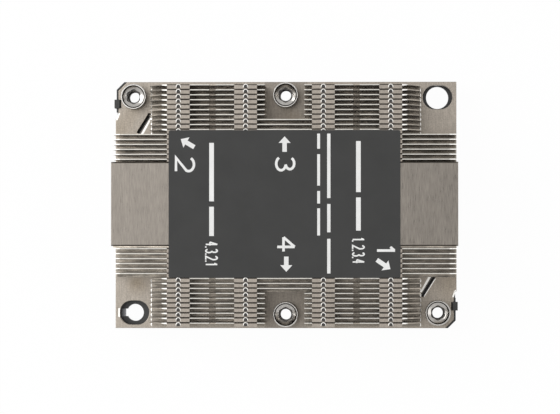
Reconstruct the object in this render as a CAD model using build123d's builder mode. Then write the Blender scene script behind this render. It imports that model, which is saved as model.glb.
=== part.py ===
"""Passive heatsink for a server processor, with its plastic carrier clip.

X runs along the fins and the air flow, Y across them and Z up. The origin is
the middle of the assembly, on the surface that the carrier stands on.
"""
import os
from math import sqrt

from build123d import *

# Whole metal heatsink
sink_length = 108.0
sink_width = 78.0
sink_height = 25.5

# Base plate, its pedestal and the compound under it
base_thickness = 4.0
pedestal_end_inset = 1.1
pedestal_side_inset = 1.3
pedestal_height = 1.0
pedestal_corner = 2.0
compound_end_inset = 12.0
compound_side_inset = 7.0
compound_corner = 3.0
compound_thickness = 0.12

# Corners of the base plate that the carrier clips round
side_recess_depth = 0.9
side_recess_length = 9.6
recess_cutter_radius = 3.0
corner_cut = 2.7
slit_width = 0.9
slit_length = 7.2
slit_angle = 58.0
slit_from_end = 9.0
slit_from_side = 13.1

# Fin stack
fin_count = 49
first_fin_from_side = 1.92
sheet = 0.3
flange_gap = 0.2
fin_end_inset = 0.5
band_width = 7.1
inner_band_x = 12.1
outer_band_from_end = 20.95
window_width = 1.25
window_rim = 0.15
window_bend_gap = 0.06
notch_share = 0.4916
notch_width = 2.05
notch_depth = 1.5

# Pockets in the stack that leave the nuts and guide posts free
corner_pocket_length = 11.6
corner_pocket_rows = 10
middle_pocket_length = 12.3
middle_pocket_rows = 7
pocket_slope_run = 4.2
pocket_slope_drop = 7.0

# Top plate and label
top_plate_rows = 17
top_plate_side_gap = 0.0325
top_plate_thickness = 2.0
top_plate_edge = 0.4
top_plate_gap = 0.1
label_length = 72.1
label_rows = 29
label_overlap = 0.5475
label_corner = 0.6
label_thickness = 0.12

# Captive nuts
corner_nut_from_end = 6.0
corner_nut_from_side = 4.9
middle_nut_from_side = 4.4
nut_head_radius = 4.0
nut_head_height = 6.5
nut_mouth_radius = 3.45
nut_cone_radius = 2.95
nut_cone_depth = 0.6
nut_stem_radius = 3.0
nut_flare_radius = 3.7
nut_flare_height = 0.8
nut_float = 0.25
nut_bore_clearance = 0.25
thread_radius = 1.72

# Six-lobed driver socket
lobe_count = 6
lobe_tip_radius = 2.8
lobe_tip_width = 0.8
lobe_root_radius = 2.1
lobe_root_width = 1.0
socket_depth = 4.2

# Guide slots in the plate
guide_slot_length = 9.4
guide_slot_width = 7.6

# Carrier clip
carrier_depth = 6.0
carrier_flange = 1.6
carrier_inset = 0.35
package_from_end = 15.9
package_from_side = 10.7
package_clearance = 0.4
window_wall = 1.3
nut_notch_clearance = 0.7
large_post_hole_radius = 3.55
small_post_hole_radius = 2.7
post_key_width = 2.4
post_key_reach = 3.1
collar_width = 9.4
collar_depth = 3.2
cut_corner_share = 0.29
clip_wall = 0.57
clip_clearance = 0.05
latch_width = 2.7
latch_from_end = 6.95
latch_overlap = 0.8
latch_proud = 0.35
latch_height = 0.9
tab_width = 6.0
tab_reach = 0.8
tab_height = 0.8
tab_spacing = 34.0

# Heights worked out from the sizes above
plate_bottom = carrier_depth
plate_top = plate_bottom + base_thickness
contact_z = plate_bottom - pedestal_height
sink_top = contact_z + sink_height
top_plate_bottom = sink_top - top_plate_thickness
nut_top = plate_top + nut_head_height

# Plan sizes worked out from the sizes above
half_length = sink_length / 2
half_width = sink_width / 2
package_length = sink_length - 2 * package_from_end
package_width = sink_width - 2 * package_from_side
pedestal_length = package_length - 2 * pedestal_end_inset
pedestal_width = package_width - 2 * pedestal_side_inset
compound_length = pedestal_length - 2 * compound_end_inset
compound_width = pedestal_width - 2 * compound_side_inset
window_length = package_length + 2 * package_clearance
window_breadth = package_width + 2 * package_clearance
slit_x = half_length - slit_from_end
slit_y = half_width - slit_from_side
first_fin_y = half_width - first_fin_from_side
fin_pitch = 2 * first_fin_y / (fin_count - 1)
flange_length = fin_pitch - sheet - flange_gap
top_plate_width = top_plate_rows * fin_pitch - 2 * top_plate_side_gap
label_width = label_rows * fin_pitch + 2 * label_overlap
middle_pocket_edge = first_fin_y - (middle_pocket_rows - 0.5) * fin_pitch
corner_pocket_edge = first_fin_y - (corner_pocket_rows - 0.5) * fin_pitch
outer_band_x = half_length - outer_band_from_end
notch_x = inner_band_x + notch_share * (outer_band_x - inner_band_x)
band_places = (-outer_band_x, -inner_band_x, inner_band_x, outer_band_x)
notch_places = (-notch_x, notch_x)
corner_nut_x = half_length - corner_nut_from_end
corner_nut_y = half_width - corner_nut_from_side
middle_nut_y = half_width - middle_nut_from_side
large_post = (corner_nut_x, corner_nut_y)
small_post = (-corner_nut_x, -corner_nut_y)
nut_places = {
    "nut_1": (corner_nut_x, -corner_nut_y),
    "nut_2": (-corner_nut_x, corner_nut_y),
    "nut_3": (0.0, middle_nut_y),
    "nut_4": (0.0, -middle_nut_y),
}

os.makedirs("parts", exist_ok=True)


def save(piece, name):
    """Name a finished piece and write it out."""
    piece.label = name
    export_step(piece, f"parts/{name}.step")


def level(height, turn=0):
    """Level plane at a height, turned about the middle of the heatsink."""
    return Plane.XY.offset(height).rotated((0, 0, turn))


def upright(y, turn=0):
    """Upright plane at y that faces -Y, turned about the middle of the heatsink."""
    return Plane(Location((0, 0, 0), (0, 0, turn)) * Plane.XZ.offset(-y).location)


def outline(plane, points):
    """Sketch of a closed outline through points on a plane."""
    with BuildSketch(plane) as sketch:
        with BuildLine():
            Polyline(*points, close=True)
        make_face()
    return sketch.sketch


def clip_edge(gap):
    """Edge of the plate at the -X +Y corner, moved outwards by a gap."""
    side = -half_length + side_recess_depth
    return [
        (side - gap, half_width - side_recess_length),
        (side - gap, half_width - corner_cut + gap * (sqrt(2) - 1)),
        (side + corner_cut - gap * sqrt(2), half_width),
    ]


def outside_clip_edge(gap, turn):
    """Sketch of what lies outside that edge, at the underside of the plate."""
    edge = clip_edge(gap)
    far_x = -half_length - side_recess_depth
    corner = [(far_x, half_width), (far_x, edge[0][1])]
    return outline(level(plate_bottom, turn), edge + corner)


def base_plate():
    """Nickel-plated plate that takes the heat, with its pedestal."""
    cutter_x = -half_length + side_recess_depth - recess_cutter_radius
    cutter_y = half_width - side_recess_length
    with BuildPart() as plate:
        with BuildSketch(level(plate_bottom)):
            Rectangle(sink_length, sink_width)
            with Locations(large_post, small_post):
                SlotOverall(guide_slot_length, guide_slot_width, mode=Mode.SUBTRACT)
            with Locations((slit_x, -slit_y), (-slit_x, slit_y)):
                Rectangle(slit_length, slit_width, rotation=slit_angle, mode=Mode.SUBTRACT)
            with Locations(*nut_places.values()):
                Circle(nut_stem_radius + nut_bore_clearance, mode=Mode.SUBTRACT)
            with Locations((cutter_x, cutter_y), (-cutter_x, -cutter_y)):
                Circle(recess_cutter_radius, mode=Mode.SUBTRACT)
        extrude(amount=base_thickness)
        for turn in (0, 180):
            extrude(outside_clip_edge(0, turn), amount=base_thickness, mode=Mode.SUBTRACT)
        with BuildSketch(level(contact_z)) as pedestal:
            Rectangle(pedestal_length, pedestal_width)
            chamfer(pedestal.vertices(), pedestal_corner)
        extrude(amount=pedestal_height)
    return plate.part


def thermal_compound():
    """Thin patch of heat-conducting compound under the pedestal."""
    with BuildPart() as patch:
        with BuildSketch(level(contact_z - compound_thickness)) as print_area:
            Rectangle(compound_length, compound_width)
            chamfer(print_area.vertices(), compound_corner)
        extrude(amount=compound_thickness)
    return patch.part


def under_top_plate(y):
    """Whether the row at y stands under the top plate."""
    return abs(y) < top_plate_rows * fin_pitch / 2


def fin_spans(y):
    """Start, end and sloped run at each end, in X, of every sheet in the row at y."""
    if abs(y) > middle_pocket_edge:
        outer = half_length - corner_pocket_length
        inner = middle_pocket_length / 2
        return [(-outer, -inner, pocket_slope_run, 0), (inner, outer, 0, pocket_slope_run)]
    if abs(y) > corner_pocket_edge:
        outer = half_length - corner_pocket_length
        return [(-outer, outer, pocket_slope_run, pocket_slope_run)]
    outer = half_length - fin_end_inset
    return [(-outer, outer, 0, 0)]


def fin_web(y, span, top):
    """Sketch of the upright sheet of a fin, with its sloped ends."""
    start, end, start_run, end_run = span
    points = [(start, plate_top), (end, plate_top)]
    if end_run:
        points.append((end, top - pocket_slope_drop))
    points.append((end - end_run, top))
    points.append((start + start_run, top))
    if start_run:
        points.append((start, top - pocket_slope_drop))
    return outline(upright(y + sheet / 2), points)


def fin_flange(x, y, width, reach, height):
    """Sketch of a strip bent over towards -Y, with its lower face at a height."""
    with BuildSketch(level(height)) as strip:
        with Locations((x, y - (sheet + reach) / 2)):
            Rectangle(width, reach)
    return strip.sketch


def under_label(y):
    """Whether the label covers the top flanges of the row at y."""
    return abs(y) < label_rows * fin_pitch / 2


def top_flange_reach(y):
    """Length of a top flange, shorter where the top plate is in its way."""
    room = y - (sheet + top_plate_width) / 2 - top_plate_gap
    if 0 < room < flange_length:
        return room
    return flange_length


def top_flanges(y, span):
    """Middle and width of every top flange on a sheet, one long one where it is covered."""
    start, end = span[:2]
    if under_top_plate(y):
        return [((start + end) / 2, end - start)]
    if under_label(y):
        return [(0, 2 * outer_band_x + band_width)]
    return [(x, band_width) for x in band_places if start < x < end]


def lock_window(x, y):
    """Sketch of the window in a top flange, with its apex just short of the bend."""
    bend = y - sheet / 2
    far = bend - flange_length + window_rim
    points = [
        (x - window_width / 2, far),
        (x + window_width / 2, far),
        (x, bend - window_bend_gap),
    ]
    return outline(level(sink_top - sheet), points)


def top_notch(x, y):
    """Sketch of a notch; the notches line up into a groove across the stack."""
    with BuildSketch(upright(y + sheet / 2)) as notch:
        with Locations((x, sink_top - notch_depth / 2)):
            Rectangle(notch_width, notch_depth)
    return notch.sketch


def fin(y):
    """One row of the stack: upright sheets with flanges at foot and top."""
    top = top_plate_bottom if under_top_plate(y) else sink_top
    reach = top_flange_reach(y)
    with BuildPart() as row:
        for span in fin_spans(y):
            start, end = span[:2]
            foot = fin_flange((start + end) / 2, y, end - start, flange_length, plate_top)
            extrude(fin_web(y, span, top), amount=sheet)
            extrude(foot, amount=sheet)
            for x, width in top_flanges(y, span):
                extrude(fin_flange(x, y, width, reach, top - sheet), amount=sheet)
                if not under_label(y):
                    extrude(lock_window(x, y), amount=sheet, mode=Mode.SUBTRACT)
            for x in [place for place in notch_places if start < place < end]:
                if not under_label(y):
                    extrude(top_notch(x, y), amount=sheet, mode=Mode.SUBTRACT)
    return row.part


def top_plate():
    """Flat bar let into the top of the stack, level with the fins."""
    with BuildPart() as plate:
        with BuildSketch(level(top_plate_bottom)):
            Rectangle(sink_length, top_plate_width)
        extrude(amount=top_plate_thickness)
        top_edges = plate.faces().sort_by(Axis.Z)[-1].edges()
        chamfer(top_edges.filter_by(Axis.X), top_plate_edge)
    return plate.part


def label():
    """Printed sheet stuck across the top plate and the fins beside it."""
    with BuildPart() as sticker:
        with BuildSketch(level(sink_top)) as sheet_outline:
            Rectangle(label_length, label_width)
            chamfer(sheet_outline.vertices(), label_corner)
        extrude(amount=label_thickness)
    return sticker.part


def flat_ends(distance, width, angle):
    """Ends of a flat that faces an angle in degrees, at a distance from the middle."""
    ends = (Vector(distance, -width / 2), Vector(distance, width / 2))
    return [end.rotate(Axis.Z, angle) for end in ends]


def lobed_socket(plane):
    """Sketch of the six-lobed driver socket, with flat tips and roots."""
    half_step = 180 / lobe_count
    points = []
    for lobe in range(lobe_count):
        tip = (2 * lobe + 1) * half_step
        points += flat_ends(lobe_tip_radius, lobe_tip_width, tip)
        points += flat_ends(lobe_root_radius, lobe_root_width, tip + half_step)
    return outline(plane, points)


def nut_profile():
    """Half section of a nut, as points of radius and height."""
    flare_top = plate_bottom - nut_float
    flare_bottom = flare_top - nut_flare_height
    return [
        (thread_radius, flare_bottom),
        (nut_flare_radius, flare_bottom),
        (nut_stem_radius, flare_top),
        (nut_stem_radius, plate_top),
        (nut_head_radius, plate_top),
        (nut_head_radius, nut_top),
        (nut_mouth_radius, nut_top),
        (nut_cone_radius, nut_top - nut_cone_depth),
        (thread_radius, nut_top - nut_cone_depth),
    ]


def captive_nut(x, y):
    """Turned nut with a driver socket above its thread and a stem flared out below."""
    socket = lobed_socket(Plane(origin=(x, y, nut_top - socket_depth)))
    section_plane = Plane(origin=(x, y, 0), x_dir=(1, 0, 0), z_dir=(0, -1, 0))
    with BuildPart() as nut:
        revolve(outline(section_plane, nut_profile()), axis=Axis((x, y, 0), (0, 0, 1)))
        extrude(socket, amount=socket_depth, mode=Mode.SUBTRACT)
    return nut.part


def cut_corner_square(width):
    """Sketch of a square with cut corners, round the middle."""
    with BuildSketch() as square:
        Rectangle(width, width)
        chamfer(square.vertices(), width * cut_corner_share)
    return square.sketch


def carrier_flange_outline():
    """Sketch of the flange under the plate, open at its edge for each nut."""
    notch_width = 2 * (nut_flare_radius + nut_notch_clearance)
    with BuildSketch(level(plate_bottom - carrier_flange)) as flange:
        Rectangle(sink_length - 2 * carrier_inset, sink_width - 2 * carrier_inset)
        Rectangle(window_length, window_breadth, mode=Mode.SUBTRACT)
        for x, y in nut_places.values():
            outwards = notch_width / 2 if y > 0 else -notch_width / 2
            with Locations((x, y)):
                add(cut_corner_square(notch_width), mode=Mode.SUBTRACT)
            with Locations((x, y + outwards)):
                Rectangle(notch_width, notch_width, mode=Mode.SUBTRACT)
    return flange.sketch


def window_wall_outline():
    """Sketch of the wall round the processor."""
    with BuildSketch(level(0)) as wall:
        Rectangle(window_length + 2 * window_wall, window_breadth + 2 * window_wall)
        Rectangle(window_length, window_breadth, mode=Mode.SUBTRACT)
    return wall.sketch


def post_collars():
    """Sketch of the collars that the guide posts pass through."""
    with BuildSketch(level(plate_bottom - collar_depth)) as collars:
        with Locations(large_post, small_post):
            add(cut_corner_square(collar_width))
    return collars.sketch


def post_holes():
    """Sketch of the round hole for the large post and the keyed one for the small."""
    with BuildSketch(level(plate_bottom - collar_depth)) as holes:
        with Locations(large_post):
            Circle(large_post_hole_radius)
        with Locations(small_post):
            Circle(small_post_hole_radius)
        with Locations((small_post[0] - post_key_reach / 2, small_post[1])):
            Rectangle(post_key_reach, post_key_width)
    return holes.sketch


def corner_wall(turn):
    """Sketch of the thin wall that hugs a clip corner of the plate."""
    inner = clip_edge(clip_clearance)
    outer = clip_edge(clip_clearance + clip_wall)
    return outline(level(plate_bottom - carrier_flange, turn), inner + outer[::-1])


def latch(turn):
    """Sketch of the latch that hooks over the edge of the plate."""
    foot = plate_bottom - carrier_flange
    wall_x = -half_length + side_recess_depth - clip_clearance
    proud_x = -half_length - latch_proud
    hook_x = -half_length + side_recess_depth + latch_overlap
    crest = plate_top + latch_height
    points = [
        (wall_x, foot),
        (wall_x, plate_top),
        (hook_x, plate_top),
        (hook_x, crest - latch_height / 2),
        (hook_x - latch_height / 2, crest),
        (proud_x, crest),
        (proud_x, foot),
    ]
    return outline(upright(half_width - latch_from_end + latch_width / 2, turn), points)


def package_tab(y, turn):
    """Sketch of a small hook at the foot of the window that holds the processor."""
    wall_x = -window_length / 2
    tip_x = wall_x + tab_reach
    points = [(wall_x, 0), (tip_x, tab_height), (wall_x, tab_height)]
    return outline(upright(y + tab_width / 2, turn), points)


def carrier_clip():
    """Moulded clip that holds the processor under the heatsink."""
    flange_to_plate_top = carrier_flange + base_thickness
    beyond_walls = clip_clearance + clip_wall
    with BuildPart() as clip:
        extrude(carrier_flange_outline(), amount=carrier_flange)
        extrude(window_wall_outline(), amount=plate_bottom)
        extrude(post_collars(), amount=collar_depth)
        extrude(post_holes(), amount=collar_depth, mode=Mode.SUBTRACT)
        for turn in (0, 180):
            corner = outside_clip_edge(beyond_walls, turn)
            extrude(corner, amount=-carrier_flange, mode=Mode.SUBTRACT)
            extrude(corner_wall(turn), amount=flange_to_plate_top)
            extrude(latch(turn), amount=latch_width)
            for y in (-tab_spacing / 2, tab_spacing / 2):
                extrude(package_tab(y, turn), amount=tab_width)
    return clip.part


save(base_plate(), "base_plate")
save(thermal_compound(), "thermal_compound")
for number in range(fin_count):
    save(fin(first_fin_y - number * fin_pitch), f"fin_{number + 1:02d}")
save(top_plate(), "top_plate")
save(label(), "label")
for name, (x, y) in nut_places.items():
    save(captive_nut(x, y), name)
save(carrier_clip(), "carrier_clip")
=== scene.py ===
"""Looks of a passive processor heatsink: finishes, printed label, nuts, solder, light and camera.

Lengths are in millimetres times MM, which makes metres. X runs along the fins, Y across them and Z up.
"""
from math import cos, pi, radians, sin, tan

import bmesh
import bpy
from mathutils import Matrix, Vector

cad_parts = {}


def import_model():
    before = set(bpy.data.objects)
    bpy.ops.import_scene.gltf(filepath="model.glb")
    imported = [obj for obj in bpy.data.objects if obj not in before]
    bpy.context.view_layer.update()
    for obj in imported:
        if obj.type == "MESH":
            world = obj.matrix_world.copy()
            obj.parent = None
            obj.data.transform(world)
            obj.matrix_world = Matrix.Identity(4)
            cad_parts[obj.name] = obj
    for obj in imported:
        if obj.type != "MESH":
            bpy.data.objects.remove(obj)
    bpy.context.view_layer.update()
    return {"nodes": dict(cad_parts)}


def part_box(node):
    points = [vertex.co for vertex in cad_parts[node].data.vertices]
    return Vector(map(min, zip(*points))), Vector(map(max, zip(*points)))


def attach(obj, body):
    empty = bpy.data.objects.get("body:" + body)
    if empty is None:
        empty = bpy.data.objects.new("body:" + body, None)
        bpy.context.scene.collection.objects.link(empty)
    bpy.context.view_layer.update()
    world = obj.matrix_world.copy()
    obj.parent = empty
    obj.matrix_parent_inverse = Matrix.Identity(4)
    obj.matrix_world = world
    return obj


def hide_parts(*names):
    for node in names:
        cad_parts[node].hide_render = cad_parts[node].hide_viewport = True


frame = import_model()
nodes = frame["nodes"]
MM = 0.001

# Camera, from the scales of the photograph at the plate and at the fin tops
PHOTO_WIDTH = 560
PHOTO_HEIGHT = 414
FOCAL_PIXELS = 3470.0
SENSOR_WIDTH = 36.0
CAMERA_PLACE = (24.2 * MM, -17.5 * MM, 1109.0 * MM)
TOP_CENTRE_PIXEL = (284.45, 203.9)

# Places read from the frame, in metres
PLATE_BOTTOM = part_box("base_plate")[0][2]
PLATE_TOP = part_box("fin_01")[0][2]
SINK_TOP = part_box("top_plate")[1][2]
LABEL_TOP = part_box("label")[1][2]
BAR_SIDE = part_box("top_plate")[1][1]
BAR_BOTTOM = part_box("top_plate")[0][2]

# Fin stack, in millimetres
FIN_COUNT = 49
FIRST_FIN_Y = 37.08
FIN_PITCH = 1.545
SHEET = 0.3
FLANGE_GAP = 0.2
FIRST_BEND_Y = FIRST_FIN_Y + SHEET / 2 + FLANGE_GAP
OPEN_ROWS = 10
BAND_WIDTH = 7.1
INNER_BAND_X = 12.1
OUTER_BAND_X = 33.05
BAND_MIDDLES = (-OUTER_BAND_X, -INNER_BAND_X, INNER_BAND_X, OUTER_BAND_X)
NOTCH_X = 22.4
NOTCH_WIDTH = 2.05
CORNER_POCKET_X = 42.4
MIDDLE_POCKET_WIDTH = 13.6

# Where the finish, the painted shade and the painted highlights change, in millimetres
EDGE_DEPTH = 0.1
GAP_SHADE_WIDTH = 0.46
UNDER_FLANGE_DEPTH = 1.2
NOTCH_SHADE_DEPTH = 3.5
FIN_TIP_X = 52.4
FIN_TIP_LENGTH = 2.2
STAIN_PLACE = (-46.9, -25.0)
STAIN_CORE = 0.5
STAIN_REACH = 4.5

# Share of light left on the plate in the middle pockets
POCKET_SHADE = 0.76

# Colours
NICKEL = (0.272, 0.243, 0.209)
BAR_NICKEL = (0.174, 0.157, 0.138)
FIN_NICKEL = (0.268, 0.239, 0.208)
WALL_NICKEL = (0.421, 0.376, 0.319)
# Painted shade in the gaps at the bends
PAINTED_GAP_SHADE = (0.03, 0.026, 0.022)
# Painted shade in the notches
PAINTED_NOTCH_SHADE = (0.186, 0.167, 0.143)
# Painted shade under the flanges and the bar
PAINTED_UNDER_SHADE = (0.028, 0.025, 0.022)
# Painted highlight on the fins' cut edges
CUT_EDGE_HIGHLIGHT = (0.46, 0.444, 0.411)
# Solder, and painted highlights
SOLDER_AND_HIGHLIGHT = (0.776, 0.76, 0.728)
STAIN = (0.205, 0.167, 0.118)
STEEL = (0.422, 0.406, 0.384)
# Nut steel darkened as painted shade
SOCKET_SHADE_STEEL = (0.077, 0.072, 0.066)
# Painted shade in the windows
WINDOW_SHADE = (0.02, 0.018, 0.016)
PRINT_WHITE = (0.74, 0.74, 0.73)
LABEL_GREY = (0.010, 0.010, 0.0095)
BLACK = (0.009, 0.009, 0.0085)
COMPOUND_GREY = (0.30, 0.30, 0.29)


def add(tree, kind, **values):
    """A new node, with its properties or inputs set by name."""
    node = tree.nodes.new(kind)
    for key, value in values.items():
        if key in node.inputs:
            node.inputs[key].default_value = value
        else:
            setattr(node, key, value)
    return node


def new_material(name):
    """A new material, with its node tree and its shader."""
    material = bpy.data.materials.new(name)
    material.use_nodes = True
    return material, material.node_tree, material.node_tree.nodes["Principled BSDF"]


def object_place(tree):
    """Place on the object's own axes."""
    return add(tree, "ShaderNodeTexCoord").outputs["Object"]


def noise(tree, scale, stretch=(1, 1, 1), detail=3.0):
    """Noise in object space; the scale counts features in a metre, times the stretch of each axis."""
    mapping = add(tree, "ShaderNodeMapping")
    mapping.inputs["Scale"].default_value = stretch
    texture = add(tree, "ShaderNodeTexNoise", Scale=scale, Detail=detail, Roughness=0.6)
    tree.links.new(object_place(tree), mapping.inputs["Vector"])
    tree.links.new(mapping.outputs["Vector"], texture.inputs["Vector"])
    return texture.outputs["Fac"]


def remap(tree, value, low, high, start=0.3, end=0.7):
    """A value carried from its own range, start to end, to another one."""
    node = add(tree, "ShaderNodeMapRange")
    node.inputs["From Min"].default_value = start
    node.inputs["From Max"].default_value = end
    node.inputs["To Min"].default_value = low
    node.inputs["To Max"].default_value = high
    tree.links.new(value, node.inputs["Value"])
    return node.outputs["Result"]


def calc(tree, operation, a, b=None):
    """One arithmetic step on sockets or numbers."""
    node = add(tree, "ShaderNodeMath", operation=operation)
    for socket, value in zip(node.inputs, (a, b)):
        if isinstance(value, bpy.types.NodeSocket):
            tree.links.new(value, socket)
        elif value is not None:
            socket.default_value = value
    return node.outputs[0]


def both(tree, a, b):
    """Where two masks meet."""
    return calc(tree, "MULTIPLY", a, b)


def either(tree, a, b):
    """Where at least one of two masks lies."""
    return calc(tree, "MAXIMUM", a, b)


def blend(tree, factor, a, b):
    """Two colours, or sockets that carry one, mixed by a factor."""
    node = add(tree, "ShaderNodeMix", data_type="RGBA")
    tree.links.new(factor, node.inputs[0])
    for socket, value in ((node.inputs[6], a), (node.inputs[7], b)):
        if isinstance(value, bpy.types.NodeSocket):
            tree.links.new(value, socket)
        else:
            socket.default_value = (*value, 1)
    return node.outputs[2]


def shade(tree, color, *factors):
    """A colour made lighter or darker by every factor in turn."""
    for factor in factors:
        node = add(tree, "ShaderNodeVectorMath", operation="SCALE")
        if isinstance(color, bpy.types.NodeSocket):
            tree.links.new(color, node.inputs[0])
        else:
            node.inputs[0].default_value = color
        tree.links.new(factor, node.inputs["Scale"])
        color = node.outputs[0]
    return color


def roughen(tree, shader, height, strength, distance=0.02 * MM):
    """Bump from a height field."""
    bump = add(tree, "ShaderNodeBump", Strength=strength, Distance=distance)
    tree.links.new(height, bump.inputs["Height"])
    tree.links.new(bump.outputs["Normal"], shader.inputs["Normal"])


def finish_metal(tree, shader, color, roughness):
    """Link a metal's colour and roughness to its shader."""
    tree.links.new(color, shader.inputs["Base Color"])
    tree.links.new(roughness, shader.inputs["Roughness"])
    shader.inputs["Metallic"].default_value = 1.0


def stack_place(tree):
    """Distance from the middle in X, place in Y and height on the heatsink."""
    place = add(tree, "ShaderNodeSeparateXYZ")
    tree.links.new(object_place(tree), place.inputs[0])
    return calc(tree, "ABSOLUTE", place.outputs["X"]), place.outputs["Y"], place.outputs["Z"]


def near(tree, value, middle, width):
    """One where a value lies within a width round a middle, elsewhere zero."""
    distance = calc(tree, "ABSOLUTE", calc(tree, "SUBTRACT", value, middle))
    return calc(tree, "LESS_THAN", distance, width / 2)


def spot(tree, middle, core, reach):
    """One at a place in the plan, fading to zero between a core and a reach."""
    distance = add(tree, "ShaderNodeVectorMath", operation="DISTANCE")
    tree.links.new(object_place(tree), distance.inputs[0])
    distance.inputs[1].default_value = (middle[0] * MM, middle[1] * MM, PLATE_TOP)
    return remap(tree, distance.outputs["Value"], 1, 0, core * MM, reach * MM)


def plate_metal():
    """Nickel plating with drawn lines, soft blotches, a few faint stains and one brown one."""
    material, tree, shader = new_material("plate_metal")
    lines = noise(tree, 1.0, (2600, 260, 2600))
    specks = noise(tree, 2200)
    blotch = noise(tree, 130)
    faint = remap(tree, noise(tree, 55, detail=1.0), 0, 0.45, 0.56, 0.72)
    brown = both(tree, spot(tree, STAIN_PLACE, STAIN_CORE, STAIN_REACH), remap(tree, blotch, 0.35, 0.75))
    color = blend(tree, either(tree, faint, brown), NICKEL, STAIN)
    color = shade(tree, color, remap(tree, lines, 0.86, 1.13), remap(tree, blotch, 0.90, 1.09))
    x, _, z = stack_place(tree)
    middle = near(tree, x, 0, MIDDLE_POCKET_WIDTH * MM)
    pocket = both(tree, middle, near(tree, z, PLATE_TOP, SHEET * MM))
    pocket_shade = remap(tree, pocket, 1, POCKET_SHADE, 0, 1)
    color = shade(tree, color, remap(tree, specks, 0.84, 1.17), pocket_shade)
    finish_metal(tree, shader, color, remap(tree, blotch, 0.34, 0.44))
    roughen(tree, shader, lines, 0.25)
    return material


def bar_metal():
    """Nickel plating brushed across the bar."""
    material, tree, shader = new_material("bar_metal")
    fine = noise(tree, 1.0, (4400, 300, 4400), detail=4.0)
    broad = noise(tree, 1.0, (700, 60, 700), detail=2.0)
    color = shade(tree, BAR_NICKEL, remap(tree, fine, 0.8, 1.26), remap(tree, broad, 0.95, 1.05))
    finish_metal(tree, shader, color, remap(tree, fine, 0.26, 0.36))
    roughen(tree, shader, fine, 0.5)
    return material


def stack_top(tree, x, y, band):
    """Colour of the top of the fins: flanges with painted shade at the gaps in the bands, painted
    highlights on the cut edges elsewhere and at the fin ends.
    """
    row = calc(tree, "DIVIDE", calc(tree, "SUBTRACT", FIRST_BEND_Y * MM, y), FIN_PITCH * MM)
    # Painted shade in the gap behind each flange tip
    gap = calc(tree, "LESS_THAN", calc(tree, "FRACT", row), GAP_SHADE_WIDTH / FIN_PITCH)
    flange = blend(tree, gap, FIN_NICKEL, PAINTED_GAP_SHADE)
    # Painted highlight on the cut edges outside the bands
    top = blend(tree, band, CUT_EDGE_HIGHLIGHT, flange)
    # Painted highlight at the ends of the fins
    tip = near(tree, x, FIN_TIP_X * MM, FIN_TIP_LENGTH * MM)
    return blend(tree, tip, top, SOLDER_AND_HIGHLIGHT)


def stack_walls(tree, x, y, z, band):
    """Colour of the fins' walls: uneven in the gaps, with painted shade towards the foot, in notches,
    under flanges and under the bar.
    """
    rows = noise(tree, 1.0, (150, 1100, 20), detail=1.0)
    patches = noise(tree, 1.0, (500, 900, 120), detail=2.0)
    # Painted shade: darker lower down and at the foot
    depth = remap(tree, z, 0.8, 1.0, PLATE_TOP, SINK_TOP)
    foot = remap(tree, z, 0.6, 1.0, PLATE_TOP + SHEET * MM, PLATE_TOP + 2 * SHEET * MM)
    plain = shade(tree, WALL_NICKEL, depth, foot, remap(tree, patches, 0.93, 1.07))
    uneven = shade(tree, plain, remap(tree, patches, 0.8, 1.2), remap(tree, rows, 0.5, 1.35, 0.25, 0.75))
    inside = near(tree, y, 0, 2 * FIRST_FIN_Y * MM)
    wall = blend(tree, inside, plain, uneven)
    # Painted shade in the notches
    notch = both(tree, inside, near(tree, x, NOTCH_X * MM, NOTCH_WIDTH * MM))
    notch = both(tree, notch, near(tree, z, SINK_TOP, 2 * NOTCH_SHADE_DEPTH * MM))
    wall = blend(tree, notch, wall, PAINTED_NOTCH_SHADE)
    # Painted shade under the flanges in the bands and under the bar
    flange_shade = near(tree, z, SINK_TOP, 2 * UNDER_FLANGE_DEPTH * MM)
    under_flange = both(tree, both(tree, band, inside), flange_shade)
    under_bar = both(tree, near(tree, y, 0, 2 * BAR_SIDE), near(tree, z, BAR_BOTTOM, 2 * SHEET * MM))
    return blend(tree, either(tree, under_flange, under_bar), wall, PAINTED_UNDER_SHADE)


def fin_metal():
    """Plated sheet with a fine grain, pale on top of the stack, with painted shade between the fins and
    painted highlights on top.
    """
    material, tree, shader = new_material("fin_metal")
    grain = noise(tree, 2400, detail=4.0)
    cloud = noise(tree, 160, detail=2.0)
    x, y, z = stack_place(tree)
    inner_band = near(tree, x, INNER_BAND_X * MM, BAND_WIDTH * MM)
    outer_band = near(tree, x, OUTER_BAND_X * MM, BAND_WIDTH * MM)
    band = either(tree, inner_band, outer_band)
    high = calc(tree, "GREATER_THAN", z, SINK_TOP - EDGE_DEPTH * MM)
    color = blend(tree, high, stack_walls(tree, x, y, z, band), stack_top(tree, x, y, band))
    color = shade(tree, color, remap(tree, grain, 0.82, 1.14), remap(tree, cloud, 0.92, 1.04))
    finish_metal(tree, shader, color, remap(tree, high, 0.22, 0.42, 0, 1))
    roughen(tree, shader, grain, 0.35)
    return material


def nut_steel(name, color):
    """Turned steel with a fine grain."""
    material, tree, shader = new_material(name)
    grain = noise(tree, 1800, detail=4.0)
    blotch = noise(tree, 500, detail=2.0)
    color = shade(tree, color, remap(tree, grain, 0.94, 1.05), remap(tree, blotch, 0.92, 1.07))
    finish_metal(tree, shader, color, remap(tree, grain, 0.2, 0.3))
    roughen(tree, shader, grain, 0.08)
    return material


def bright_metal():
    """Solder, and painted highlights on tongues, bent tips, bevels and plate edges."""
    material, tree, shader = new_material("bright_metal")
    grain = noise(tree, 1500)
    color = shade(tree, SOLDER_AND_HIGHLIGHT, remap(tree, grain, 0.82, 1.03))
    finish_metal(tree, shader, color, remap(tree, grain, 0.3, 0.5))
    roughen(tree, shader, grain, 0.3)
    return material


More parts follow.
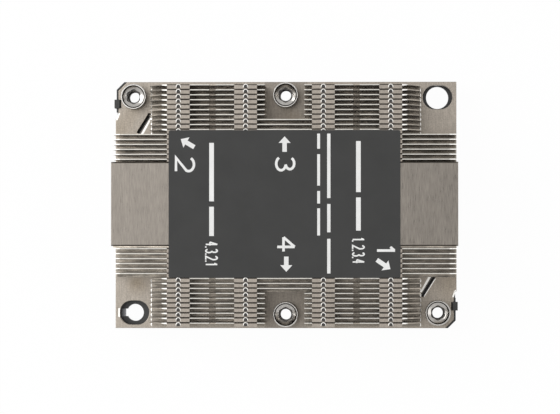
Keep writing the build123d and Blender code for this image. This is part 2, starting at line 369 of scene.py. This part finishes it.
def plastic(name, color, roughness, grain_scale, unevenness, bump_strength):
    """Moulded, printed or smeared surface that isn't metal, with its own grain."""
    material, tree, shader = new_material(name)
    grain = noise(tree, grain_scale)
    cloud = noise(tree, 120)
    spread = remap(tree, grain, 1 - unevenness, 1 + unevenness)
    tree.links.new(shade(tree, color, spread, remap(tree, cloud, 0.94, 1.06)), shader.inputs["Base Color"])
    tree.links.new(remap(tree, cloud, roughness - 0.05, roughness + 0.05), shader.inputs["Roughness"])
    roughen(tree, shader, grain, bump_strength)
    return material


def dress(node, material):
    """Give a CAD node its material."""
    mesh = nodes[node].data
    mesh.materials.clear()
    mesh.materials.append(material)


# Rounding of sharp edges: the width for each CAD node, in millimetres
SOFT_EDGES = {"base_plate": 0.12, "top_plate": 0.06, "carrier_clip": 0.1}
SOFT_ANGLE = 40
SOFT_SEGMENTS = 2
WELD_REACH = 0.0001


def soften(node, width):
    """Round the sharp edges of a CAD node a little."""
    obj = nodes[node]
    weld = obj.modifiers.new("weld", "WELD")
    weld.merge_threshold = WELD_REACH * MM
    bevel = obj.modifiers.new("bevel", "BEVEL")
    bevel.width = width * MM
    bevel.segments = SOFT_SEGMENTS
    bevel.limit_method = "ANGLE"
    bevel.angle_limit = radians(SOFT_ANGLE)


def new_piece(name, mesh, material, body):
    """An added object with its material, riding on a body."""
    obj = bpy.data.objects.new(name, mesh)
    bpy.context.scene.collection.objects.link(obj)
    mesh.materials.append(material)
    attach(obj, body)
    return obj


# Angle from which an edge stays sharp, and how far a bend may widen a line
SHARP_ANGLE = 35
MITRE_LIMIT = 0.4


def to_mesh(name, bm, sharp_angle=SHARP_ANGLE):
    """Mesh from an edit mesh, smooth except across its sharp edges."""
    bmesh.ops.recalc_face_normals(bm, faces=bm.faces)
    for face in bm.faces:
        face.smooth = True
    for edge in bm.edges:
        if edge.is_manifold:
            edge.smooth = edge.calc_face_angle() < radians(sharp_angle)
    mesh = bpy.data.meshes.new(name)
    bm.to_mesh(mesh)
    bm.free()
    return mesh


def slab(bm, outline, bottom, top):
    """Flat piece with an outline in X and Y, between two heights."""
    lower = [bm.verts.new((x * MM, y * MM, bottom)) for x, y in outline]
    upper = [bm.verts.new((x * MM, y * MM, top)) for x, y in outline]
    bm.faces.new(lower[::-1])
    bm.faces.new(upper)
    for i in range(len(outline)):
        j = (i + 1) % len(outline)
        bm.faces.new((lower[i], lower[j], upper[j], upper[i]))


def rectangle(left, right, low, high):
    """Corners of a rectangle from its bounds in X and in Y."""
    return [(left, low), (right, low), (right, high), (left, high)]


def arc(x, y, radius, start, end, steps=10, ratio=1.0):
    """Points on an arc from one angle to another in degrees, drawn out in Y by a ratio."""
    turn = [radians(start + (end - start) * i / steps) for i in range(steps + 1)]
    return [(x + radius * cos(a), y + radius * ratio * sin(a)) for a in turn]


def side_offsets(points):
    """For each point of a line, the sideways direction there, longer where the line bends."""
    found = []
    for i, (x, y) in enumerate(points):
        before = points[max(i - 1, 0)]
        after = points[min(i + 1, len(points) - 1)]
        back = Vector((x - before[0], y - before[1])).normalized()
        ahead = Vector((after[0] - x, after[1] - y)).normalized()
        along = (back + ahead).normalized()
        side = Vector((-along.y, along.x))
        reference = ahead if i == 0 else back
        found.append(side / max(MITRE_LIMIT, abs(along.dot(reference))))
    return found


# Printed label
LABEL_CORNER = 0.6
LABEL_STEPS = 5
PRINT_DEPTH = 0.01 * MM
BAR_SHARE = 0.36
DIGIT_STROKE = 0.8
SMALL_STROKE = 0.45
SMALL_HEIGHT = 4.04
SMALL_DIGIT_WIDTH = 1.5
SMALL_ONE_WIDTH = 0.8
SMALL_PITCH = 2.2
OVERLAP_STEP = 0.001 * MM
DOT_LAYER = 3
ARROW_HEAD_LENGTH = 2.05
ARROW_HEAD_WIDTH = 3.75
ARROW_SHAFT_WIDTH = 1.4

# Digits as lines in a cell of width and height 1
DIGITS = {
    "1": [[(1.0, 0.0), (1.0, 1.0)], [(1.0, 0.97), (0.0, 0.74)]],
    "2": [arc(0.5, 0.7, 0.5, 155, -25, ratio=0.6) + [(0.0, 0.0), (1.0, 0.0)]],
    "3": [arc(0.48, 0.76, 0.44, 155, -80, ratio=0.55), arc(0.5, 0.27, 0.5, 80, -155, ratio=0.54)],
    "4": [[(0.68, 0.0), (0.68, 1.0)], [(0.68, 1.0), (0.0, 0.36)], [(0.0, 0.36), (1.0, 0.36)]],
}

# Each large digit: its foot in X, its left side in Y, its height and its width
LARGE_DIGITS = {
    "2": (-34.15, 14.8, 6.4, 5.0),
    "3": (-2.97, 14.95, 6.4, 4.9),
    "4": (-2.63, -9.98, 6.2, 5.2),
    "1": (28.36, -13.0, 6.4, 1.9),
}

# Each arrow: its tail and its tip
ARROWS = (
    ((-28.05, 17.66), (-32.28, 20.17)),
    ((0.05, 16.2), (0.05, 21.01)),
    ((0.57, -16.38), (0.57, -21.1)),
    ((28.71, -17.41), (32.93, -20.27)),
)

# Each line of print: its foot and top in X, and the start and end in Y of every bar
BAR_LINES = (
    (-24.7, -20.66, ((19.0, 0.81), (-0.87, -9.98))),
    (9.4, 11.86, ((21.85, 17.16), (15.45, 5.69), (4.01, 0.12), (-1.4, -9.82))),
    (12.36, 15.22, ((21.85, 1.8), (-0.03, -8.83), (-10.85, -21.63))),
    (20.97, 25.01, ((19.52, 3.67), (1.99, -8.3))),
)

# Each row of small digits: its text, its foot in X and its start in Y
SMALL_ROWS = (("4321", -24.7, -11.66), ("1234", 20.97, -10.51))


def stroke(bm, points, width, bottom, top):
    """Flat line of even width through points."""
    offsets = [side * width / 2 for side in side_offsets(points)]
    left = [(x + o.x, y + o.y) for (x, y), o in zip(points, offsets)]
    right = [(x - o.x, y - o.y) for (x, y), o in zip(points, offsets)]
    for i in range(len(points) - 1):
        slab(bm, [left[i], right[i], right[i + 1], left[i + 1]], bottom, top)


def digit(bm, text, foot, side, height, width, line):
    """A digit that stands on a line across the label and is read from its +X side."""
    inset = line / 2
    for i, path in enumerate(DIGITS[text]):
        points = [
            (foot + inset + v * (height - line), side - inset - u * (width - line))
            for u, v in path
        ]
        stroke(bm, points, line, LABEL_TOP - PRINT_DEPTH, LABEL_TOP - i * OVERLAP_STEP)


def dot(bm, foot, side):
    """Small square point after a digit."""
    outline = rectangle(foot, foot + SMALL_STROKE, side - SMALL_STROKE, side)
    slab(bm, outline, LABEL_TOP - PRINT_DEPTH, LABEL_TOP - DOT_LAYER * OVERLAP_STEP)


def arrow(bm, tail, tip):
    """Flat arrow from its tail to its tip."""
    along = (Vector(tip) - Vector(tail)).normalized()
    side = Vector((-along.y, along.x))
    neck = Vector(tip) - along * ARROW_HEAD_LENGTH
    outline = [
        Vector(tail) - side * ARROW_SHAFT_WIDTH / 2,
        neck - side * ARROW_SHAFT_WIDTH / 2,
        neck - side * ARROW_HEAD_WIDTH / 2,
        Vector(tip),
        neck + side * ARROW_HEAD_WIDTH / 2,
        neck + side * ARROW_SHAFT_WIDTH / 2,
        Vector(tail) + side * ARROW_SHAFT_WIDTH / 2,
    ]
    slab(bm, [tuple(p) for p in outline], LABEL_TOP - PRINT_DEPTH, LABEL_TOP)


def bar_line(bm, foot, top, bars):
    """Bars in the middle of the height that a line of words would have."""
    middle = (foot + top) / 2
    half = (top - foot) * BAR_SHARE / 2
    for start, end in bars:
        outline = rectangle(middle - half, middle + half, end, start)
        slab(bm, outline, LABEL_TOP - PRINT_DEPTH, LABEL_TOP)


def small_row(bm, texts, foot, start):
    """Row of small digits with a point between each two."""
    for i, text in enumerate(texts):
        width = SMALL_ONE_WIDTH if text == "1" else SMALL_DIGIT_WIDTH
        side = start - i * SMALL_PITCH
        digit(bm, text, foot, side, SMALL_HEIGHT, width, SMALL_STROKE)
        if i < len(texts) - 1:
            dot(bm, foot, side - width)


def label_print(material):
    """White print: plain digits, arrows, and bars where lines of words would be."""
    bm = bmesh.new()
    for text, (foot, side, height, width) in LARGE_DIGITS.items():
        digit(bm, text, foot, side, height, width, DIGIT_STROKE)
    for tail, tip in ARROWS:
        arrow(bm, tail, tip)
    for line in BAR_LINES:
        bar_line(bm, *line)
    for row in SMALL_ROWS:
        small_row(bm, *row)
    new_piece("label_print", to_mesh("label_print", bm), material, "heatsink")


def label_film(material):
    """Film with rounded corners, just thin enough for the print to lie on it."""
    low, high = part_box("label")
    corner_x = high[0] / MM - LABEL_CORNER
    corner_y = high[1] / MM - LABEL_CORNER
    outline = []
    for turn, x, y in ((0, 1, 1), (90, -1, 1), (180, -1, -1), (270, 1, -1)):
        outline += arc(x * corner_x, y * corner_y, LABEL_CORNER, turn, turn + 90, LABEL_STEPS)
    bm = bmesh.new()
    slab(bm, outline, low[2], LABEL_TOP - PRINT_DEPTH / 2)
    film = new_piece("label_film", to_mesh("label_film", bm), material, "heatsink")
    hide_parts("label")


# Nuts
NUT_SEGMENTS = 96
STEM_RADIUS = 3.0
FLARE_RADIUS = 3.7
FLARE_EDGE = 0.15
FLARE_HEIGHT = 0.8
BORE_RADIUS = 1.72
SOCKET_DEPTH = 4.2
LOBES = 6
LOBE_TIP_RADIUS = 2.4
LOBE_ROOT_RADIUS = 2.15
LEDGE_SLOPE = 20
THREAD_PITCH = 0.7
THREAD_DEPTH = 0.14
THREAD_START = 0.15
SOCKET_LIP = 0.05
SOCKET_LIP_DEPTH = 0.12
BORE_MOUTH = 0.2
SOCKET_FLOOR_RIM = 0.15
NUT_SHARP_ANGLE = 30

# Radii of a nut's head at its foot, with heights above the plate
HEAD_FOOT = ((3.85, 0.0), (4.0, 0.15))

# Radii of its head from the rim down to the ledge, with depths under the top
HEAD_RIM = ((4.0, 0.22), (3.95, 0.08), (3.83, 0.0), (3.62, 0.0), (3.5, 0.1), (3.23, 0.74), (3.15, 0.8))

# Rings of the skin with painted shade, counted from the foot, and the last one above the socket, below
# which all have painted shade
SHADED_RINGS = (11,)
LAST_UNSHADED_RING = 14


def lobe_radius(angle):
    """Edge of the six-lobed socket at an angle."""
    wave = (1 - cos(LOBES * angle)) / 2
    return LOBE_ROOT_RADIUS + (LOBE_TIP_RADIUS - LOBE_ROOT_RADIUS) * wave


def nut_rings(bottom, plate, top):
    """Radius and height, at any angle, of the rings that a nut's skin passes through."""
    slope = tan(radians(LEDGE_SLOPE))
    ledge_radius, ledge_depth = HEAD_RIM[-1]
    ledge = top - ledge_depth
    floor = top - SOCKET_DEPTH
    plain = [
        (BORE_RADIUS + BORE_MOUTH, bottom),
        (FLARE_RADIUS, bottom),
        (FLARE_RADIUS, bottom + FLARE_EDGE),
        (STEM_RADIUS, bottom + FLARE_HEIGHT),
        (STEM_RADIUS, plate),
    ]
    plain += [(radius, plate + rise) for radius, rise in HEAD_FOOT]
    plain += [(radius, top - depth) for radius, depth in HEAD_RIM]
    rings = [lambda a, r=r, z=z: (r, z) for r, z in plain]
    rings.append(lambda a: (lobe_radius(a), ledge - (ledge_radius - lobe_radius(a)) * slope))
    rings.append(lambda a: (lobe_radius(a) - SOCKET_LIP, rings[len(plain)](a)[1] - SOCKET_LIP_DEPTH))
    rings.append(lambda a: (lobe_radius(a) - SOCKET_LIP, floor))
    rings.append(lambda a: (BORE_RADIUS + SOCKET_FLOOR_RIM, floor))
    turns = int((floor - bottom) / THREAD_PITCH)
    for i in range(turns):
        z = floor - THREAD_START - i * THREAD_PITCH
        rings.append(lambda a, z=z: (BORE_RADIUS, z))
        rings.append(lambda a, z=z: (BORE_RADIUS + THREAD_DEPTH, z - THREAD_PITCH / 2))
    rings.append(lambda a: (BORE_RADIUS, bottom + THREAD_START))
    return rings


def ring_loop(bm, ring, middle):
    """Points of one ring round a nut's middle."""
    loop = []
    for i in range(NUT_SEGMENTS):
        angle = 2 * pi * i / NUT_SEGMENTS
        radius, height = ring(angle)
        x = middle[0] + radius * cos(angle) * MM
        y = middle[1] + radius * sin(angle) * MM
        loop.append(bm.verts.new((x, y, height * MM)))
    return loop


def nut(name, material, shade_material):
    """A captive nut with a rounded rim, a lead-in cone, a six-lobed socket and a threaded bore."""
    low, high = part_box(name)
    middle = ((low[0] + high[0]) / 2, (low[1] + high[1]) / 2)
    bm = bmesh.new()
    rings = nut_rings(low[2] / MM, PLATE_TOP / MM, high[2] / MM)
    loops = [ring_loop(bm, ring, middle) for ring in rings]
    for k, far in enumerate(loops[1:] + loops[:1]):
        for i in range(NUT_SEGMENTS):
            j = (i + 1) % NUT_SEGMENTS
            face = bm.faces.new((loops[k][i], loops[k][j], far[j], far[i]))
            face.material_index = 1 if k in SHADED_RINGS or k > LAST_UNSHADED_RING else 0
    body = name.replace("nut", "captive_nut")
    mesh = to_mesh(name, bm, NUT_SHARP_ANGLE)
    piece = new_piece(f"{name}_detail", mesh, material, body)
    piece.data.materials.append(shade_material)
    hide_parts(name)


# Lock tongues, painted shade in their windows, bent tips with painted highlights, and solder
TONGUE_RADIUS = 0.66
TONGUE_CENTRE = 0.48
TONGUE_LEG = 0.35
TONGUE_SPREAD = 0.08
TONGUE_WIDTH = 0.26
TONGUE_HEIGHT = 0.09
WINDOW_RADIUS = 0.52
WINDOW_LEG = 0.42
WINDOW_RISE = 0.01 * MM
TIP_START = 36.62
TIP_END = 38.2
TIP_BELOW = 0.34
TIP_ABOVE = 0.16
SOLDER_RADIUS = 0.72
SOLDER_SINK = 0.7
SOLDER_SPREAD = 52
SOLDER_WIDTH = 0.5
SOLDER_HEIGHT = 0.2
ARC_STEPS = 8
BEAD_SIDES = 8
BEAD_END = 0.35


def bead(bm, points, width, height, base):
    """Low rounded ridge along a line, thinner at both ends."""
    loops = []
    last = len(points) - 1
    for i, ((x, y), side) in enumerate(zip(points, side_offsets(points))):
        swell = BEAD_END if i in (0, last) else 1.0
        loop = []
        for k in range(BEAD_SIDES):
            angle = 2 * pi * k / BEAD_SIDES
            out = side.normalized() * width / 2 * swell * cos(angle)
            rise = height * swell * sin(angle)
            loop.append(bm.verts.new(((x + out.x) * MM, (y + out.y) * MM, base + rise * MM)))
        loops.append(loop)
    for before, after in zip(loops, loops[1:]):
        for k in range(BEAD_SIDES):
            n = (k + 1) % BEAD_SIDES
            bm.faces.new((before[k], before[n], after[n], after[k]))
    bm.faces.new(loops[0][::-1])
    bm.faces.new(loops[-1])


def fin_y(row):
    """Place of a fin in Y."""
    return FIRST_FIN_Y - row * FIN_PITCH


def open_rows():
    """Rows outside the label, on both sides of it."""
    return [*range(OPEN_ROWS), *range(FIN_COUNT - OPEN_ROWS, FIN_COUNT)]


def lock_tongues(material):
    """Raised tongue round every window, which locks a fin to the next one, in bright metal as a painted
    highlight.
    """
    bm = bmesh.new()
    for row in open_rows():
        y = fin_y(row) - TONGUE_CENTRE
        for x in BAND_MIDDLES:
            top = arc(x, y, TONGUE_RADIUS, 180, 0, ARC_STEPS)
            left = (x - TONGUE_RADIUS - TONGUE_SPREAD, y - TONGUE_LEG)
            right = (x + TONGUE_RADIUS + TONGUE_SPREAD, y - TONGUE_LEG)
            bead(bm, [left] + top + [right], TONGUE_WIDTH, TONGUE_HEIGHT, SINK_TOP)
    new_piece("lock_tongues", to_mesh("lock_tongues", bm), material, "heatsink")


def lock_window_shades(material):
    """Dark sheet on the rounded mouth of every window, under its tongue: painted shade."""
    bm = bmesh.new()
    for row in open_rows():
        y = fin_y(row) - TONGUE_CENTRE
        foot = y - WINDOW_LEG
        for x in BAND_MIDDLES:
            mouth = arc(x, y, WINDOW_RADIUS, 180, 0, ARC_STEPS)
            outline = [(x - WINDOW_RADIUS, foot)] + mouth + [(x + WINDOW_RADIUS, foot)]
            slab(bm, outline, SINK_TOP, SINK_TOP + WINDOW_RISE)
    new_piece("lock_window_shades", to_mesh("lock_window_shades", bm), material, "heatsink")


def flange_tip_highlights(material):
    """Bent tips of the corner rows, beside the outer flanges, with a painted highlight."""
    bm = bmesh.new()
    for row in open_rows():
        y = fin_y(row)
        low = y - TIP_BELOW
        high = y + TIP_ABOVE
        for side in (-1, 1):
            start = side * TIP_START
            end = side * TIP_END
            points = [(start, low), (end, (low + y) / 2), (end, y), (start, high)]
            slab(bm, points, SINK_TOP - SHEET * MM, SINK_TOP + WINDOW_RISE)
    new_piece("flange_tip_highlights", to_mesh("flange_tip_highlights", bm), material, "heatsink")


def solder(material):
    """Fillets of solder at the feet of the fins along the corner pockets."""
    bm = bmesh.new()
    for row in open_rows():
        y = fin_y(row) - FIN_PITCH / 2
        for side in (-1, 1):
            middle = side * (CORNER_POCKET_X - SOLDER_RADIUS * SOLDER_SINK)
            start = 90 - side * 90 - SOLDER_SPREAD
            points = arc(middle, y, SOLDER_RADIUS, start, start + 2 * SOLDER_SPREAD, ARC_STEPS)
            bead(bm, points, SOLDER_WIDTH, SOLDER_HEIGHT, PLATE_TOP)
    new_piece("solder", to_mesh("solder", bm), material, "heatsink")


# Painted highlights and painted shade of the milled bevels beside the slits
SLIT_MIDDLE = (-45.0, 25.9)
SLIT_ANGLE = 58
BEVEL_HEIGHT = 0.02 * MM

# Each strip: its start and end along the slit, and how far from the middle line it lies at each
# The shaded strip is painted shade, the inner and outer strips painted highlights
SHADED_STRIP = ((-3.6, 0.45, 0.9), (3.4, 0.45, 0.7))
INNER_STRIP = ((-3.6, 0.9, 1.65), (2.6, 0.7, 1.25))
OUTER_STRIP = ((-3.4, -0.72, -0.45), (3.4, -0.7, -0.45))


def slit_strips(name, material, strips):
    """Flat strips beside the slits, in the corner at -X +Y or turned half round, painting a bevel's
    highlight in bright metal and its shade in dark steel.
    """
    along = Vector((cos(radians(SLIT_ANGLE)), sin(radians(SLIT_ANGLE))))
    inwards = Vector((along.y, -along.x))
    bm = bmesh.new()
    for turn, ((start, start_near, start_far), (end, end_near, end_far)) in strips:
        outline = []
        for place, out in ((start, start_near), (end, end_near), (end, end_far), (start, start_far)):
            outline.append(tuple((Vector(SLIT_MIDDLE) + along * place + inwards * out) * turn))
        slab(bm, outline, PLATE_TOP, PLATE_TOP + BEVEL_HEIGHT)
    new_piece(name, to_mesh(name, bm), material, "heatsink")


# Painted highlights on the plate: beside the small post's slot, and where the clip recesses end
SLOT_RIM = [(-53.15, -35.4), (-52.65, -35.6), (-52.65, -32.6), (-53.15, -32.8)]
RECESS_END = [(53.1, -29.2), (53.6, -27.9), (53.9, -26.9), (53.5, -26.9), (53.1, -27.7), (52.6, -29.2)]


def plate_highlights(material):
    """Painted highlights beside the slot and at the recess ends in two opposite corners."""
    bm = bmesh.new()
    slab(bm, SLOT_RIM, PLATE_TOP, PLATE_TOP + BEVEL_HEIGHT)
    for turn in (1, -1):
        slab(bm, [(x * turn, y * turn) for x, y in RECESS_END], PLATE_TOP, PLATE_TOP + BEVEL_HEIGHT)
    new_piece("plate_highlights", to_mesh("plate_highlights", bm), material, "heatsink")


# Painted reflection on the end of the key beside the small guide post
KEY_START = -51.1
KEY_END = -52.6
KEY_MIDDLE_Y = -34.1
KEY_HALF_WIDTH = 1.2
KEY_LIFT = 1.0 * MM
KEY_REFLECTION = (0.5, 0.52, 0.56)


def key_material():
    """Black plastic with a painted reflection that grows paler towards the hole."""
    material, tree, shader = new_material("key_reflection")
    place = add(tree, "ShaderNodeSeparateXYZ")
    tree.links.new(object_place(tree), place.inputs[0])
    reflection_share = remap(tree, place.outputs["X"], 0, 1, KEY_END * MM, KEY_START * MM)
    grain = remap(tree, noise(tree, 3000), 0.8, 1.2)
    tree.links.new(shade(tree, blend(tree, reflection_share, BLACK, KEY_REFLECTION), grain), shader.inputs["Base Color"])
    shader.inputs["Roughness"].default_value = 0.4
    return material


def key_reflection(material):
    """Flat sheet where the post's key leads into the carrier, carrying the painted reflection of its
    slope.
    """
    bm = bmesh.new()
    outline = rectangle(KEY_END, KEY_START, KEY_MIDDLE_Y - KEY_HALF_WIDTH, KEY_MIDDLE_Y + KEY_HALF_WIDTH)
    bottom = PLATE_BOTTOM + KEY_LIFT
    slab(bm, outline, bottom, bottom + BEVEL_HEIGHT)
    new_piece("key_reflection", to_mesh("key_reflection", bm), material, "heatsink")


def camera():
    """Camera almost straight above, aimed so that the top lands where the photograph has it."""
    data = bpy.data.cameras.new("camera")
    data.sensor_width = SENSOR_WIDTH
    data.lens = FOCAL_PIXELS / PHOTO_WIDTH * SENSOR_WIDTH
    data.clip_start = 0.05
    data.clip_end = 20
    obj = bpy.data.objects.new("camera", data)
    bpy.context.scene.collection.objects.link(obj)
    place = Vector(CAMERA_PLACE)
    distance = place.z - SINK_TOP
    target = Vector((
        -(TOP_CENTRE_PIXEL[0] - PHOTO_WIDTH / 2) / FOCAL_PIXELS * distance,
        (TOP_CENTRE_PIXEL[1] - PHOTO_HEIGHT / 2) / FOCAL_PIXELS * distance,
        SINK_TOP,
    ))
    back = (place - target).normalized()
    right = Vector((0, 1, 0)).cross(back).normalized()
    turn = Matrix((right, back.cross(right), back)).transposed()
    obj.matrix_world = Matrix.Translation(place) @ turn.to_4x4()
    bpy.context.scene.camera = obj


# Each soft light: its place in metres, its size and its radiance
SOFTBOXES = {
    "key": ((-0.95, 0.3, 0.85), 0.8, 5.2),
    "fill": ((0.95, -0.2, 0.85), 0.7, 1.2),
    "overhead": ((-0.43, 0.15, 1.5), 0.7, 2.2),
}
SURROUNDINGS = 0.52


def softbox(name, place, size, radiance):
    """Square soft light aimed at the heatsink, as bright as a surface of that radiance."""
    data = bpy.data.lights.new(name, "AREA")
    data.shape = "SQUARE"
    data.size = size
    data.energy = radiance * pi * size * size
    obj = bpy.data.objects.new(name, data)
    bpy.context.scene.collection.objects.link(obj)
    obj.location = place
    obj.rotation_mode = "QUATERNION"
    obj.rotation_quaternion = (-Vector(place)).to_track_quat("-Z", "Y")


def background_switch(tree, low, high):
    """One value for what is seen directly, mirrored or through glass, and another for all other rays."""
    path = add(tree, "ShaderNodeLightPath")
    seen = either(tree, path.outputs["Is Camera Ray"], path.outputs["Is Glossy Ray"])
    seen = either(tree, seen, path.outputs["Is Transmission Ray"])
    return remap(tree, seen, low, high, 0, 1)


def world():
    """Even white surroundings."""
    scene_world = bpy.data.worlds.new("world")
    bpy.context.scene.world = scene_world
    scene_world.use_nodes = True
    tree = scene_world.node_tree
    background = tree.nodes["Background"]
    background.inputs["Color"].default_value = (1, 1, 1, 1)
    tree.links.new(background_switch(tree, SURROUNDINGS, 1.0), background.inputs["Strength"])


# Floor, in metres
FLOOR_REACH = 3.0
FLOOR_GAP = 0.1 * MM
FLOOR_GREY = 0.85
FLOOR_GLOW = 0.97


def floor_material():
    """Pale surface that shows white to the camera and lets light and views up from below."""
    material, tree, shader = new_material("floor")
    shader.inputs["Base Color"].default_value = (FLOOR_GREY, FLOOR_GREY, FLOOR_GREY, 1)
    shader.inputs["Roughness"].default_value = 0.9
    glow = add(tree, "ShaderNodeEmission", Strength=1.0)
    lit = add(tree, "ShaderNodeMixShader")
    tree.links.new(background_switch(tree, 0, FLOOR_GLOW), lit.inputs["Fac"])
    tree.links.new(shader.outputs[0], lit.inputs[1])
    tree.links.new(glow.outputs[0], lit.inputs[2])
    below = add(tree, "ShaderNodeNewGeometry").outputs["Backfacing"]
    bounced = add(tree, "ShaderNodeLightPath").outputs["Is Diffuse Ray"]
    see_through = add(tree, "ShaderNodeMixShader")
    tree.links.new(either(tree, below, bounced), see_through.inputs["Fac"])
    tree.links.new(lit.outputs[0], see_through.inputs[1])
    tree.links.new(add(tree, "ShaderNodeBsdfTransparent").outputs[0], see_through.inputs[2])
    tree.links.new(see_through.outputs[0], tree.nodes["Material Output"].inputs["Surface"])
    return material


def floor():
    """Floor that keeps the shadow."""
    bm = bmesh.new()
    corners = rectangle(-FLOOR_REACH, FLOOR_REACH, -FLOOR_REACH, FLOOR_REACH)
    bm.faces.new([bm.verts.new((x, y, -FLOOR_GAP)) for x, y in corners])
    obj = bpy.data.objects.new("floor", to_mesh("floor", bm))
    bpy.context.scene.collection.objects.link(obj)
    obj.data.materials.append(floor_material())


# Finishes of the solids
fins = fin_metal()
steel = nut_steel("nut_steel", STEEL)
# Darker copy of the nut steel: painted shade in the sockets, inside the rims and beside the slits
shaded_steel = nut_steel("shaded_steel", SOCKET_SHADE_STEEL)
bright = bright_metal()
black_plastic = plastic("black_plastic", BLACK, 0.4, 5000, 0.15, 0.2)
for name in nodes:
    if name.startswith("fin_"):
        dress(name, fins)
    elif name.startswith("nut_"):
        dress(name, steel)
        nut(name, steel, shaded_steel)
dress("base_plate", plate_metal())
dress("top_plate", bar_metal())
dress("label", black_plastic)
dress("carrier_clip", black_plastic)
dress("thermal_compound", plastic("compound", COMPOUND_GREY, 0.65, 1400, 0.12, 0.7))
for name, width in SOFT_EDGES.items():
    soften(name, width)

# Finer pieces on top of them
label_film(plastic("label_film", LABEL_GREY, 0.6, 3500, 0.14, 0.2))
label_print(plastic("print_white", PRINT_WHITE, 0.6, 3000, 0.04, 0.1))
lock_tongues(bright)
lock_window_shades(plastic("window_shade", WINDOW_SHADE, 0.6, 2500, 0.3, 0.2))
solder(bright)
slit_strips("slit_bevel_highlights", bright, ((1, INNER_STRIP), (-1, INNER_STRIP), (-1, OUTER_STRIP)))
slit_strips("slit_shades", shaded_steel, ((1, SHADED_STRIP), (-1, SHADED_STRIP)))
key_reflection(key_material())
plate_highlights(bright)
flange_tip_highlights(bright)

# Camera, light and floor
camera()
world()
floor()
for name, (place, size, radiance) in SOFTBOXES.items():
    softbox(name, place, size, radiance)
bpy.context.scene.view_settings.view_transform = "Standard"
